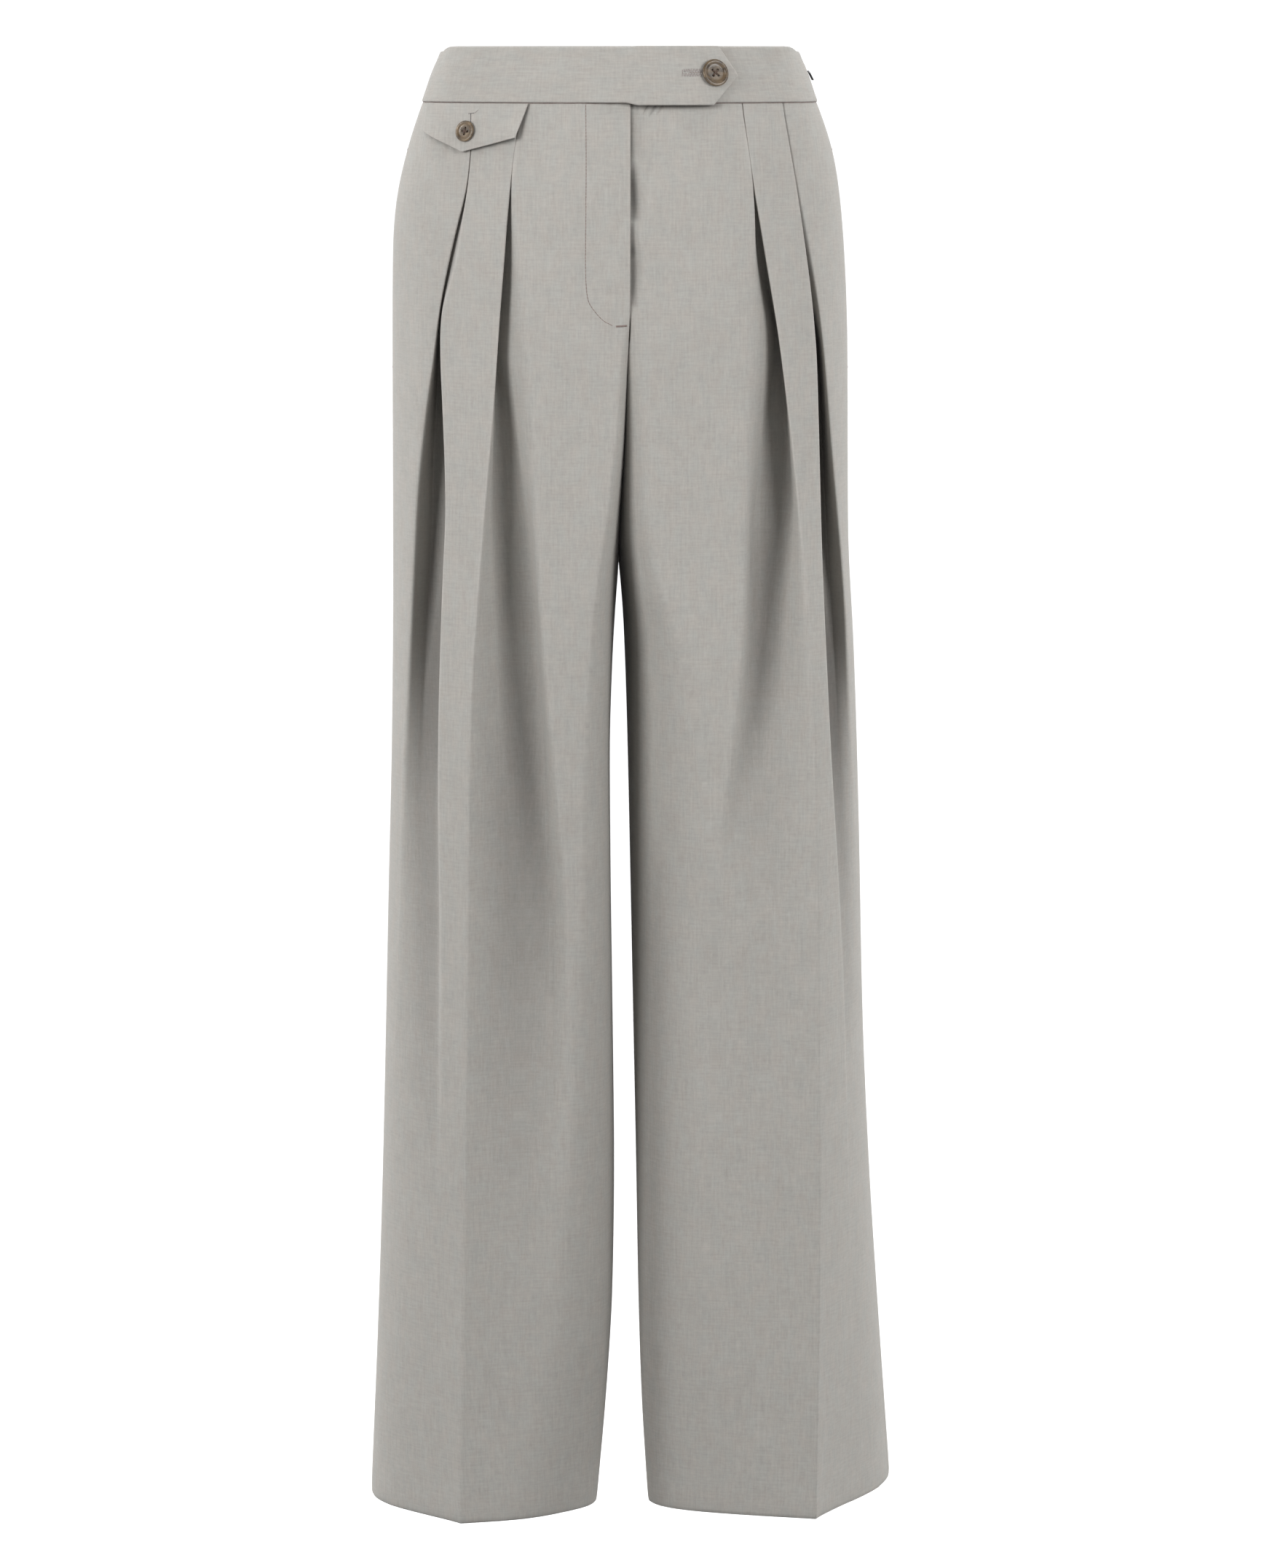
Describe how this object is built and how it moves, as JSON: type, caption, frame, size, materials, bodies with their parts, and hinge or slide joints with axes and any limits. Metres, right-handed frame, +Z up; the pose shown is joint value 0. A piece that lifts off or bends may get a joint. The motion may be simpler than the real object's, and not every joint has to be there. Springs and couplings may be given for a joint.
{
  "type": "pleated dress trousers",
  "caption": "Wide-leg pleated dress trousers, filled out as worn, with a pointed waistband tab, a buttoned pocket flap and pressed creases.",
  "frame": {"origin": "middle of the waistband's ring, half way up the band, where the wearer's waist holds the trousers", "axes": "+Z up along the legs towards the waist, -Y out of the front, -X towards the wearer's right"},
  "size_m": [0.396, 0.2557, 1.0865],
  "materials": {
    "front_right": "matt plain weave in a warm light grey melange",
    "front_left": "matt plain weave in a warm light grey melange",
    "back_right": "matt plain weave in a warm light grey melange",
    "back_left": "matt plain weave in a warm light grey melange",
    "waistband": "matt plain weave in a warm light grey melange",
    "pocket_flap": "matt plain weave in a warm light grey melange",
    "waist_button": "mottled brown horn, softly polished",
    "flap_button": "mottled brown horn, softly polished",
    "side_tab": "dark woven tape"
  },
  "bodies": {
    "root": {"front_right": "front_right", "front_left": "front_left", "back_right": "back_right", "back_left": "back_left", "waistband": "waistband", "pocket_flap": "pocket_flap", "waist_button": "waist_button", "flap_button": "flap_button", "side_tab": "side_tab"}
  },
  "joints": []
}
